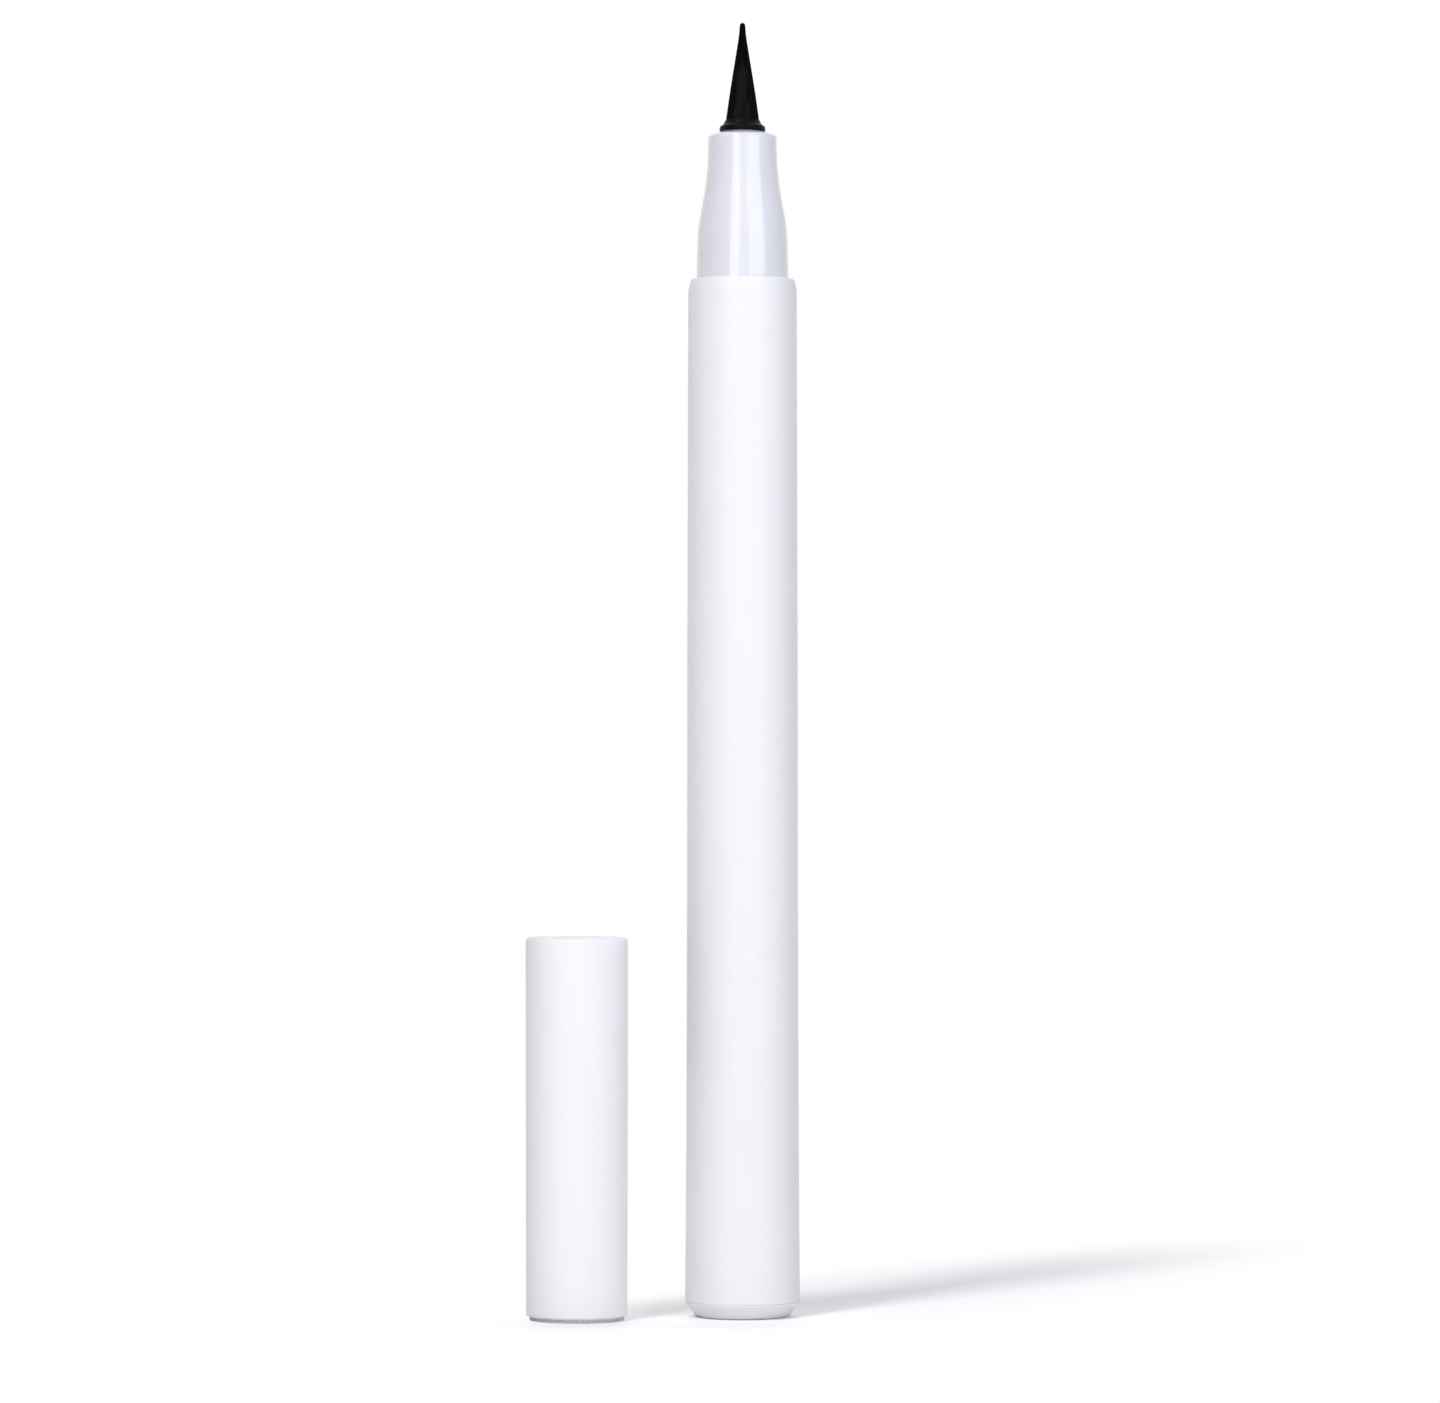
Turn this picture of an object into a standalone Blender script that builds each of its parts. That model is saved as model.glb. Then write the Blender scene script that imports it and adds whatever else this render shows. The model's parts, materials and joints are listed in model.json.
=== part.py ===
"""A liquid eyeliner pen with a brush nib. It stands on its tail, and its cap stands beside it, mouth down.

Metres, +Z up. The origin is the centre of the tail's flat face, and the pen's axis is the Z axis.
Each sub-part is one object. A turned piece is an outline of (radius, height) corners, with an optional
third number that rounds the corner, swept round its axis by a Screw modifier.
The pieces of the cap hang from an empty on the cap's own axis, at the level of its mouth.
"""

import math

import bpy
from mathutils import Vector

# Clearances: between faces that show, between hidden faces, and round a piece in its bore
SEAM_GAP = 0.0001
SEAT_GAP = 0.0003
PRESS_GAP = 0.00005
SLIDE_GAP = 0.00012
CUT_OVERRUN = 0.0005

# Tail plug
PLUG_CHAMFER_WIDTH = 0.00094
PLUG_CHAMFER_HEIGHT = 0.00135
PLUG_LAND_HEIGHT = 0.00015
PLUG_FOOT_ROUND = 0.00012
PLUG_SPIGOT_LENGTH = 0.0070
PLUG_SPIGOT_RELIEF = 0.00018
PLUG_WALL = 0.0010
PLUG_FLOOR = 0.0010
PLUG_RIB_LENGTH = 0.0006
PLUG_RIB_COUNT = 3

# Barrel
BARREL_LENGTH = 0.0978
BARREL_WAIST_HEIGHT = 0.0464
BARREL_TAIL_WALL = 0.00104
BARREL_WAIST_WALL = 0.00084
BARREL_FRONT_WALL = 0.00078
BARREL_SHOULDER_ROUND = 0.0007
BARREL_TAIL_ROUND = 0.0001

# Brush nib: the filaments in the ferrule, and the point that shows
NIB_SHANK_RADIUS = 0.00155
NIB_SHANK_LENGTH = 0.0080
NIB_SWELL = 0.00005
NIB_LENGTH = 0.00975
NIB_POINT_SHARES = ((0.04, 1.0), (0.43, 0.61), (0.82, 0.22), (0.92, 0.125), (0.98, 0.05))

# Ferrule
FERRULE_WALL = 0.00025
FERRULE_SHANK_LENGTH = 0.0096
FERRULE_FOOT_LIP = 0.00024
FERRULE_FOOT_HEIGHT = 0.0002
FERRULE_FLARE_HEIGHT = 0.0003
FERRULE_COLLAR_HEIGHT = 0.00015
FERRULE_COLLAR_WALL = 0.000125
FERRULE_FLARE_ROUND = 0.0003

# Nib holder
HOLDER_WALL = 0.00095
HOLDER_FLANGE_LIP = 0.0006
HOLDER_FLANGE_LENGTH = 0.0008
HOLDER_NECK_LENGTH = 0.0050
HOLDER_NECK_WALL = 0.0009
HOLDER_EDGE_ROUND = 0.0002
VENT_GROOVE_WIDTH = 0.0005
VENT_GROOVE_DEPTH = 0.0004
VENT_GROOVE_COUNT = 4

# Relay wick
WICK_RADIUS = 0.00095
WICK_TAIL_DEPTH = 0.0120
WICK_END_ROUND = 0.0003

# Nose section
NOSE_BASE_RADIUS = 0.00441
NOSE_BASE_DRAFT = 0.00013
NOSE_BASE_LENGTH = 0.0042
NOSE_TAPER_LENGTH = 0.0072
NOSE_TAPER_SHARES = ((0.0, 0.0), (0.2, 0.17), (0.42, 0.46), (0.64, 0.70), (0.85, 0.88), (1.0, 1.0))
NOSE_FRONT_LENGTH = 0.0028
NOSE_FRONT_WALL = 0.00138
NOSE_FACE_MARGIN = 0.0001
NOSE_RIM_DROP = 0.0004
NOSE_RIM_ROUND = 0.0003
NOSE_LAND_LENGTH = 0.0050
NOSE_SPIGOT_LENGTH = 0.0080
NOSE_SPIGOT_RELIEF = 0.00018
NOSE_SPIGOT_WALL = 0.00068
NOSE_RIB_LENGTH = 0.0007
NOSE_RIB_COUNT = 2
SNAP_BEAD_HEIGHT = 0.00008
SNAP_BEAD_LENGTH = 0.0010
SNAP_BEAD_DEPTH = 0.0026

# Reservoir
SLEEVE_CLEARANCE = 0.00015
SLEEVE_WALL = 0.00015
FIBRE_CLEARANCE = 0.0001
FIBRE_END_ROUND = 0.0003

# Cap
CAP_LEFT = 0.0158
CAP_FORWARD = 0.0035
CAP_LENGTH = 0.0364
CAP_WALL = 0.00042
CAP_TOP_WALL = 0.0012
CAP_TOP_ROUND = 0.00035
CAP_MOUTH_ROUND = 0.00022
CAP_RING_STEP = 0.00034
CAP_BOSS_HEIGHT = 0.0010

# Inner cap
INNER_CAP_DEPTH = 0.0095
INNER_CAP_TRAVEL = 0.0015
SKIRT_LENGTH = 0.0091
SKIRT_CLEARANCE = 0.00024
SKIRT_SEAL_GAP = 0.0001
SKIRT_ROOF = 0.0010
SKIRT_LIP_ROUND = 0.00025
CHAMBER_RADIUS = 0.00295
CHAMBER_WALL = 0.00045
CHAMBER_ROOF = 0.0010
FLANGE_LENGTH = 0.0010
CENTRE_BOSS_HEIGHT = 0.0007

# Retainer ring
RING_LENGTH = 0.0035
RING_EDGE_ROUND = 0.0002

# Return spring
SPRING_WIRE_RADIUS = 0.0002
SPRING_CLEARANCE = 0.00062
SPRING_BOSS_CLEARANCE = 0.0003
SPRING_TURNS = 7.5
SPRING_POINTS_PER_TURN = 10
SPRING_WIRE_STEPS = 1

# Fineness of the turned pieces
TURN_STEPS = 36
SLIM_STEPS = 24
ARC_STEPS = 3
MERGE_DISTANCE = 0.000001
SHARP_ANGLE_DEG = 30.0

# Radii that fit one another, from the nib outwards
nib_radius = NIB_SHANK_RADIUS + NIB_SWELL
nib_bore = NIB_SHANK_RADIUS + PRESS_GAP
ferrule_radius = nib_bore + FERRULE_WALL
ferrule_foot_radius = ferrule_radius + FERRULE_FOOT_LIP
ferrule_bore = ferrule_radius + PRESS_GAP
holder_radius = ferrule_bore + HOLDER_WALL
wick_bore = WICK_RADIUS + PRESS_GAP
holder_neck_radius = wick_bore + HOLDER_NECK_WALL
nose_inner_bore = holder_radius + PRESS_GAP
nose_front_radius = ferrule_bore + NOSE_FRONT_WALL
nose_spigot_radius = NOSE_BASE_RADIUS - NOSE_SPIGOT_RELIEF
nose_rear_bore = nose_spigot_radius - NOSE_SPIGOT_WALL
holder_flange_radius = min(holder_radius + HOLDER_FLANGE_LIP, nose_rear_bore - PRESS_GAP)
barrel_bore = NOSE_BASE_RADIUS + PRESS_GAP
barrel_tail_radius = barrel_bore + BARREL_TAIL_WALL
sleeve_radius = barrel_bore - SLEEVE_CLEARANCE
sleeve_bore = sleeve_radius - SLEEVE_WALL
fibre_radius = sleeve_bore - FIBRE_CLEARANCE
cap_bore = NOSE_BASE_RADIUS + PRESS_GAP
cap_radius = cap_bore + CAP_WALL
cap_upper_bore = cap_bore - CAP_RING_STEP
spring_mean_radius = cap_upper_bore - SPRING_CLEARANCE - SPRING_WIRE_RADIUS
spring_boss_radius = spring_mean_radius - SPRING_WIRE_RADIUS - SPRING_BOSS_CLEARANCE
chamber_outer_radius = CHAMBER_RADIUS + CHAMBER_WALL

# Heights of the pen's pieces, from the tail up
barrel_bottom = PLUG_CHAMFER_HEIGHT + PLUG_LAND_HEIGHT + SEAM_GAP
shoulder = barrel_bottom + BARREL_LENGTH
nose_rear = shoulder - NOSE_SPIGOT_LENGTH
taper_start = shoulder + NOSE_BASE_LENGTH
taper_end = taper_start + NOSE_TAPER_LENGTH
nose_face = taper_end + NOSE_FRONT_LENGTH
nose_land_back = nose_face - NOSE_LAND_LENGTH
reservoir_top = nose_rear - SEAT_GAP
holder_front = nose_land_back - SEAT_GAP
holder_rear = reservoir_top + SEAT_GAP
holder_flange_back = holder_rear + HOLDER_NECK_LENGTH
holder_flange_front = holder_flange_back + HOLDER_FLANGE_LENGTH
nose_step = holder_flange_front + SEAT_GAP
ferrule_foot = nose_face + SEAM_GAP
ferrule_rear = ferrule_foot - FERRULE_SHANK_LENGTH
ferrule_rim = ferrule_foot + FERRULE_FOOT_HEIGHT + FERRULE_FLARE_HEIGHT + FERRULE_COLLAR_HEIGHT
nib_rear = ferrule_rim - NIB_SHANK_LENGTH
plug_spigot_base = PLUG_CHAMFER_HEIGHT + PLUG_LAND_HEIGHT
plug_spigot_end = plug_spigot_base + PLUG_SPIGOT_LENGTH
reservoir_bottom = plug_spigot_end + SEAT_GAP
wick_front = nib_rear - SEAT_GAP
wick_rear = reservoir_top - WICK_TAIL_DEPTH
snap_bead_middle = shoulder - SNAP_BEAD_DEPTH

# Heights of the cap's pieces, above the cap's mouth
skirt_top = INNER_CAP_DEPTH + SKIRT_LENGTH
ring_bottom = skirt_top + INNER_CAP_TRAVEL + SEAT_GAP
ring_top = ring_bottom + RING_LENGTH
flange_bottom = ring_top + SEAT_GAP
flange_top = flange_bottom + FLANGE_LENGTH
cap_ceiling = CAP_LENGTH - CAP_TOP_WALL


def clear_scene():
    for leftover in list(bpy.data.objects):
        bpy.data.objects.remove(leftover)


def collection(name):
    made = bpy.data.collections.new(name)
    bpy.context.scene.collection.children.link(made)
    return made


def rounded(corners, closed):
    """The outline's points, with an arc at each corner that has a round."""
    points = []
    for index, corner in enumerate(corners):
        here = Vector(corner[:2])
        at_an_end = not closed and index in (0, len(corners) - 1)
        if len(corner) < 3 or at_an_end:
            points.append(here)
            continue
        back = (Vector(corners[index - 1][:2]) - here).normalized()
        ahead = (Vector(corners[(index + 1) % len(corners)][:2]) - here).normalized()
        half_angle = back.angle(ahead) / 2
        centre = here + (back + ahead).normalized() * (corner[2] / math.sin(half_angle))
        reach = corner[2] / math.tan(half_angle)
        start = (here + back * reach - centre).normalized()
        end = (here + ahead * reach - centre).normalized()
        for step in range(ARC_STEPS + 1):
            points.append(centre + start.slerp(end, step / ARC_STEPS) * corner[2])
    return points


def coat(piece, colour, roughness, metallic):
    """Gives a piece a material of its own."""
    material = bpy.data.materials.new(piece.name + "_finish")
    material.use_nodes = True
    shader = material.node_tree.nodes["Principled BSDF"]
    shader.inputs["Base Color"].default_value = (*colour, 1.0)
    shader.inputs["Roughness"].default_value = roughness
    shader.inputs["Metallic"].default_value = metallic
    material.diffuse_color = (*colour, 1.0)
    piece.data.materials.append(material)


def white_plastic(piece):
    coat(piece, colour=(0.90, 0.90, 0.93), roughness=0.42, metallic=0.0)


def gloss_white_plastic(piece):
    coat(piece, colour=(0.84, 0.84, 0.92), roughness=0.18, metallic=0.0)


def natural_plastic(piece):
    coat(piece, colour=(0.80, 0.81, 0.82), roughness=0.35, metallic=0.0)


def black_plastic(piece):
    coat(piece, colour=(0.012, 0.012, 0.016), roughness=0.30, metallic=0.0)


def black_filament(piece):
    coat(piece, colour=(0.010, 0.010, 0.012), roughness=0.55, metallic=0.0)


def inked_fibre(piece):
    coat(piece, colour=(0.03, 0.03, 0.035), roughness=0.90, metallic=0.0)


def clear_film(piece):
    coat(piece, colour=(0.75, 0.77, 0.80), roughness=0.25, metallic=0.0)


def spring_steel(piece):
    coat(piece, colour=(0.62, 0.62, 0.64), roughness=0.28, metallic=1.0)


def as_mesh(piece):
    """Swaps an object's modifiers or curve for the mesh they make, shaded smooth but for its sharp edges."""
    graph = bpy.context.evaluated_depsgraph_get()
    made = bpy.data.meshes.new_from_object(piece.evaluated_get(graph))
    made.name = piece.name
    made.shade_smooth()
    made.set_sharp_from_angle(angle=math.radians(SHARP_ANGLE_DEG))
    return made


def turned(name, corners, home, steps=TURN_STEPS, parent=None):
    """Sweeps an outline round the Z axis. Its outer side runs from the top down."""
    closed = corners[0][0] > 0
    points = rounded(corners, closed)
    edges = [(index, index + 1) for index in range(len(points) - 1)]
    if closed:
        edges.append((len(points) - 1, 0))
    outline = bpy.data.meshes.new(name)
    outline.from_pydata([(radius, 0, height) for radius, height in points], edges, [])
    piece = bpy.data.objects.new(name, outline)
    home.objects.link(piece)
    screw = piece.modifiers.new("turn", "SCREW")
    screw.axis = "Z"
    screw.steps = steps
    screw.render_steps = steps
    screw.use_merge_vertices = True
    screw.merge_threshold = MERGE_DISTANCE
    piece.data = as_mesh(piece)
    piece.modifiers.clear()
    piece.parent = parent
    return piece


def ribs(first_top, length, pitch, count, radius, base_radius):
    """The outline of some round ribs one below another, top to bottom."""
    outline = []
    for number in range(count):
        top = first_top - number * pitch
        outline += [(base_radius, top), (radius, top - length / 4)]
        outline += [(radius, top - length * 3 / 4), (base_radius, top - length)]
    return outline


def tail_plug(home):
    foot_radius = barrel_tail_radius - PLUG_CHAMFER_WIDTH
    rib_radius = barrel_bore - PRESS_GAP
    spigot_radius = barrel_bore - PRESS_GAP - PLUG_SPIGOT_RELIEF
    rib_pitch = PLUG_SPIGOT_LENGTH / (PLUG_RIB_COUNT + 1)
    outline = [(spigot_radius - PLUG_WALL, plug_spigot_end), (spigot_radius, plug_spigot_end)]
    outline += ribs(plug_spigot_end - rib_pitch / 2, PLUG_RIB_LENGTH, rib_pitch, PLUG_RIB_COUNT,
                    rib_radius, spigot_radius)
    outline += [
        (spigot_radius, plug_spigot_base),
        (barrel_tail_radius, plug_spigot_base),
        (barrel_tail_radius, PLUG_CHAMFER_HEIGHT),
        (foot_radius, 0, PLUG_FOOT_ROUND),
        (0, 0),
    ]
    hollow = [
        (0, plug_spigot_base + PLUG_FLOOR),
        (spigot_radius - PLUG_WALL, plug_spigot_base + PLUG_FLOOR, PLUG_FOOT_ROUND),
    ]
    white_plastic(turned("tail_plug", hollow + outline, home))


def barrel(home):
    front_radius = barrel_bore + BARREL_FRONT_WALL
    waist_radius = barrel_bore + BARREL_WAIST_WALL
    groove_radius = barrel_bore + SNAP_BEAD_HEIGHT
    groove_half = SNAP_BEAD_LENGTH / 2 + PRESS_GAP
    outline = [
        (front_radius, shoulder, BARREL_SHOULDER_ROUND),
        (waist_radius, barrel_bottom + BARREL_WAIST_HEIGHT),
        (barrel_tail_radius, barrel_bottom, BARREL_TAIL_ROUND),
        (barrel_bore, barrel_bottom),
        (barrel_bore, snap_bead_middle - groove_half),
        (groove_radius, snap_bead_middle - groove_half / 2),
        (groove_radius, snap_bead_middle + groove_half / 2),
        (barrel_bore, snap_bead_middle + groove_half),
        (barrel_bore, shoulder),
    ]
    white_plastic(turned("barrel", outline, home))


def nose_section(home):
    taper_drop = NOSE_BASE_RADIUS - NOSE_BASE_DRAFT - nose_front_radius
    rib_radius = NOSE_BASE_RADIUS
    bead_half = SNAP_BEAD_LENGTH / 2
    rib_top = snap_bead_middle - SNAP_BEAD_LENGTH
    outline = [
        (ferrule_bore, nose_face),
        (ferrule_foot_radius + NOSE_FACE_MARGIN, nose_face),
        (nose_front_radius, nose_face - NOSE_RIM_DROP, NOSE_RIM_ROUND),
    ]
    for along, drop in reversed(NOSE_TAPER_SHARES):
        radius = NOSE_BASE_RADIUS - NOSE_BASE_DRAFT - drop * taper_drop
        outline.append((radius, taper_start + along * NOSE_TAPER_LENGTH))
    outline += [
        (NOSE_BASE_RADIUS, shoulder),
        (NOSE_BASE_RADIUS, snap_bead_middle + bead_half),
        (NOSE_BASE_RADIUS + SNAP_BEAD_HEIGHT, snap_bead_middle + bead_half / 2),
        (NOSE_BASE_RADIUS + SNAP_BEAD_HEIGHT, snap_bead_middle - bead_half / 2),
        (NOSE_BASE_RADIUS, snap_bead_middle - bead_half),
        (nose_spigot_radius, rib_top),
    ]
    rib_pitch = (rib_top - nose_rear) / (NOSE_RIB_COUNT + 1)
    outline += ribs(rib_top - rib_pitch / 2, NOSE_RIB_LENGTH, rib_pitch, NOSE_RIB_COUNT,
                    rib_radius, nose_spigot_radius)
    outline += [
        (nose_spigot_radius, nose_rear),
        (nose_rear_bore, nose_rear),
        (nose_rear_bore, nose_step),
        (nose_inner_bore, nose_step),
        (nose_inner_bore, nose_land_back),
        (ferrule_bore, nose_land_back),
    ]
    gloss_white_plastic(turned("nose_section", outline, home))


def vent_groove_cutters(cutters):
    """One box for each groove, laid along the outside of the holder's body and through its flange."""
    made = []
    length = holder_front - holder_flange_back + 2 * CUT_OVERRUN
    depth = holder_flange_radius - holder_radius + VENT_GROOVE_DEPTH + CUT_OVERRUN
    for number in range(VENT_GROOVE_COUNT):
        angle = math.tau * number / VENT_GROOVE_COUNT
        distance = holder_radius - VENT_GROOVE_DEPTH + depth / 2
        bpy.ops.mesh.primitive_cube_add(size=1)
        cutter = bpy.context.active_object
        cutter.name = f"vent_groove_cutter_{number + 1}"
        cutter.scale = (depth, VENT_GROOVE_WIDTH, length)
        cutter.rotation_euler.z = angle
        middle = (holder_front + holder_flange_back) / 2
        cutter.location = (distance * math.cos(angle), distance * math.sin(angle), middle)
        cutter.hide_render = True
        cutter.display_type = "WIRE"
        for owner in list(cutter.users_collection):
            owner.objects.unlink(cutter)
        cutters.objects.link(cutter)
        made.append(cutter)
    return made


def nib_holder(home, cutters):
    outline = [
        (ferrule_bore, holder_front),
        (holder_radius, holder_front, HOLDER_EDGE_ROUND),
        (holder_radius, holder_flange_front),
        (holder_flange_radius, holder_flange_front),
        (holder_flange_radius, holder_flange_back),
        (holder_neck_radius, holder_flange_back),
        (holder_neck_radius, holder_rear, HOLDER_EDGE_ROUND),
        (wick_bore, holder_rear),
        (wick_bore, ferrule_rear - SEAT_GAP),
        (ferrule_bore, ferrule_rear - SEAT_GAP),
    ]
    piece = turned("nib_holder", outline, home)
    for cutter in vent_groove_cutters(cutters):
        cut = piece.modifiers.new(cutter.name, "BOOLEAN")
        cut.operation = "DIFFERENCE"
        cut.object = cutter
    natural_plastic(piece)


def nib_ferrule(home):
    collar_radius = nib_bore + FERRULE_COLLAR_WALL
    flare_top = ferrule_rim - FERRULE_COLLAR_HEIGHT
    outline = [
        (nib_bore, ferrule_rim),
        (collar_radius, ferrule_rim),
        (collar_radius, flare_top, FERRULE_FLARE_ROUND),
        (ferrule_foot_radius, ferrule_foot + FERRULE_FOOT_HEIGHT),
        (ferrule_foot_radius, ferrule_foot),
        (ferrule_radius, ferrule_foot),
        (ferrule_radius, ferrule_rear),
        (nib_bore, ferrule_rear),
    ]
    black_plastic(turned("nib_ferrule", outline, home, SLIM_STEPS))


def brush_nib(home):
    outline = [(0, ferrule_rim + NIB_LENGTH)]
    for along, radius in reversed(NIB_POINT_SHARES):
        outline.append((radius * nib_radius, ferrule_rim + along * NIB_LENGTH))
    outline += [(NIB_SHANK_RADIUS, ferrule_rim), (NIB_SHANK_RADIUS, nib_rear), (0, nib_rear)]
    black_filament(turned("brush_nib", outline, home, SLIM_STEPS))


def relay_wick(home):
    outline = [
        (0, wick_front),
        (WICK_RADIUS, wick_front, WICK_END_ROUND),
        (WICK_RADIUS, wick_rear, WICK_END_ROUND),
        (0, wick_rear),
    ]
    inked_fibre(turned("relay_wick", outline, home, SLIM_STEPS))


def reservoir_fibre(home):
    hole_floor = wick_rear - SEAT_GAP
    outline = [
        (0, hole_floor),
        (wick_bore, hole_floor),
        (wick_bore, reservoir_top),
        (fibre_radius, reservoir_top, FIBRE_END_ROUND),
        (fibre_radius, reservoir_bottom, FIBRE_END_ROUND),
        (0, reservoir_bottom),
    ]
    inked_fibre(turned("reservoir_fibre", outline, home))


def reservoir_sleeve(home):
    outline = [
        (sleeve_bore, reservoir_top),
        (sleeve_radius, reservoir_top),
        (sleeve_radius, reservoir_bottom),
        (sleeve_bore, reservoir_bottom),
    ]
    clear_film(turned("reservoir_sleeve", outline, home))


def cap_shell(home, axis):
    outline = [
        (0, CAP_LENGTH),
        (cap_radius, CAP_LENGTH, CAP_TOP_ROUND),
        (cap_radius, 0, CAP_MOUTH_ROUND),
        (cap_bore, 0),
        (cap_bore, ring_top + SEAM_GAP),
        (cap_upper_bore, ring_top + SEAM_GAP),
        (cap_upper_bore, cap_ceiling),
        (spring_boss_radius, cap_ceiling),
        (spring_boss_radius, cap_ceiling - CAP_BOSS_HEIGHT),
        (0, cap_ceiling - CAP_BOSS_HEIGHT),
    ]
    white_plastic(turned("cap_shell", outline, home, parent=axis))


def retainer_ring(home, axis):
    ring_radius = cap_bore - PRESS_GAP
    ring_bore = chamber_outer_radius + SLIDE_GAP
    outline = [
        (ring_bore, ring_top),
        (ring_radius, ring_top, RING_EDGE_ROUND),
        (ring_radius, ring_bottom, RING_EDGE_ROUND),
        (ring_bore, ring_bottom),
    ]
    natural_plastic(turned("retainer_ring", outline, home, parent=axis))


def inner_cap(home, axis):
    skirt_radius = cap_bore - SKIRT_CLEARANCE
    skirt_bore = nose_front_radius + SKIRT_SEAL_GAP
    flange_radius = cap_upper_bore - SLIDE_GAP
    outline = [
        (0, flange_top + CENTRE_BOSS_HEIGHT),
        (spring_boss_radius, flange_top + CENTRE_BOSS_HEIGHT),
        (spring_boss_radius, flange_top),
        (flange_radius, flange_top),
        (flange_radius, flange_bottom),
        (chamber_outer_radius, flange_bottom),
        (chamber_outer_radius, skirt_top),
        (skirt_radius, skirt_top, SKIRT_LIP_ROUND),
        (skirt_radius, INNER_CAP_DEPTH, SKIRT_LIP_ROUND),
        (skirt_bore, INNER_CAP_DEPTH, SKIRT_LIP_ROUND),
        (skirt_bore, skirt_top - SKIRT_ROOF),
        (CHAMBER_RADIUS, skirt_top - SKIRT_ROOF),
        (CHAMBER_RADIUS, flange_top + CENTRE_BOSS_HEIGHT - CHAMBER_ROOF),
        (0, flange_top + CENTRE_BOSS_HEIGHT - CHAMBER_ROOF),
    ]
    natural_plastic(turned("inner_cap", outline, home, parent=axis))


def spring_points():
    """Points along the helix between the inner cap's flange and the cap's ceiling."""
    low = flange_top + SEAT_GAP + SPRING_WIRE_RADIUS
    high = cap_ceiling - SEAT_GAP - SPRING_WIRE_RADIUS
    count = round(SPRING_TURNS * SPRING_POINTS_PER_TURN)
    points = []
    for step in range(count + 1):
        angle = math.tau * SPRING_TURNS * step / count
        height = low + (high - low) * step / count
        points.append(Vector((spring_mean_radius * math.cos(angle),
                              spring_mean_radius * math.sin(angle), height)))
    return points


def least_gap(points):
    """The least clear distance from one turn of the spring to another, measured on its points."""
    apart = [(near - far).length
             for index, near in enumerate(points)
             for far in points[index + SPRING_POINTS_PER_TURN // 2:]]
    return min(apart) - 2 * SPRING_WIRE_RADIUS


def return_spring(home, axis):
    points = spring_points()
    print(f"return_spring: least gap to itself {least_gap(points):.6f} m")
    curve = bpy.data.curves.new("return_spring", "CURVE")
    curve.dimensions = "3D"
    curve.bevel_depth = SPRING_WIRE_RADIUS
    curve.bevel_resolution = SPRING_WIRE_STEPS
    curve.use_fill_caps = True
    wire = curve.splines.new("POLY")
    wire.points.add(len(points) - 1)
    for point, place in zip(wire.points, points):
        point.co = (*place, 1)
    piece = bpy.data.objects.new("return_spring", curve)
    home.objects.link(piece)
    piece.parent = axis
    spring_steel(piece)


def axis_empty(name, place, home):
    axis = bpy.data.objects.new(name, None)
    axis.location = place
    home.objects.link(axis)
    return axis


def build():
    clear_scene()
    home = collection("eyeliner_pen")
    cutters = collection("cutters")
    tail_plug(home)
    barrel(home)
    reservoir_sleeve(home)
    reservoir_fibre(home)
    relay_wick(home)
    nose_section(home)
    nib_holder(home, cutters)
    nib_ferrule(home)
    brush_nib(home)
    cap_axis = axis_empty("cap_axis", (-CAP_LEFT, -CAP_FORWARD, 0), home)
    cap_shell(home, cap_axis)
    retainer_ring(home, cap_axis)
    inner_cap(home, cap_axis)
    return_spring(home, cap_axis)


build()
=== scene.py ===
"""The looks of a liquid eyeliner pen with a brush nib, and of its cap, which stands beside it, mouth down.

Metres, +Z up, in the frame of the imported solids. The pen stands on its tail with its axis on the Z axis.
A turned piece is an outline of (radius, height, reach) corners, spun round its axis. The reach says how far
along the outline the rounding of a corner goes, and 0 leaves the corner sharp.
"""

import json
import math
import random

import bmesh
import bpy
from mathutils import Matrix, Vector


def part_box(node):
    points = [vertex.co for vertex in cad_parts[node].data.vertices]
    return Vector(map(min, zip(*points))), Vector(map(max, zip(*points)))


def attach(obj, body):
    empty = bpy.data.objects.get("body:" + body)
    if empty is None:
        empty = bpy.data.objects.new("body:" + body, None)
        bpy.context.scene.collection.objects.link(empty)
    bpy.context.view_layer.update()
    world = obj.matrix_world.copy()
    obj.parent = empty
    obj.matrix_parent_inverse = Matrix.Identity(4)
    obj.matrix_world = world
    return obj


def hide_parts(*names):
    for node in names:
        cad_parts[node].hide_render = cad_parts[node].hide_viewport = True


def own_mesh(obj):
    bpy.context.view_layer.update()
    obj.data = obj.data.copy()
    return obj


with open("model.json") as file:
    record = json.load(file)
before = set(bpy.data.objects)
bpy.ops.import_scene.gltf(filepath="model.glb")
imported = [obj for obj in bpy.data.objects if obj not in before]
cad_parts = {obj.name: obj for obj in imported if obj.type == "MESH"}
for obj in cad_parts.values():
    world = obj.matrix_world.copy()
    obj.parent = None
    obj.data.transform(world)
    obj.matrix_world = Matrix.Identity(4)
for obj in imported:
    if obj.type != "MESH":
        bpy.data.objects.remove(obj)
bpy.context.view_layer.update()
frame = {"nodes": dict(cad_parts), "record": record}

# Camera, in the photograph's place: the pen's foot is the origin
CAMERA_PLACE = (-0.00216, -0.571, 0.0515)
CAMERA_TILT_DEG = 0.7425
CAMERA_LENS_MM = 148.82

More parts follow.
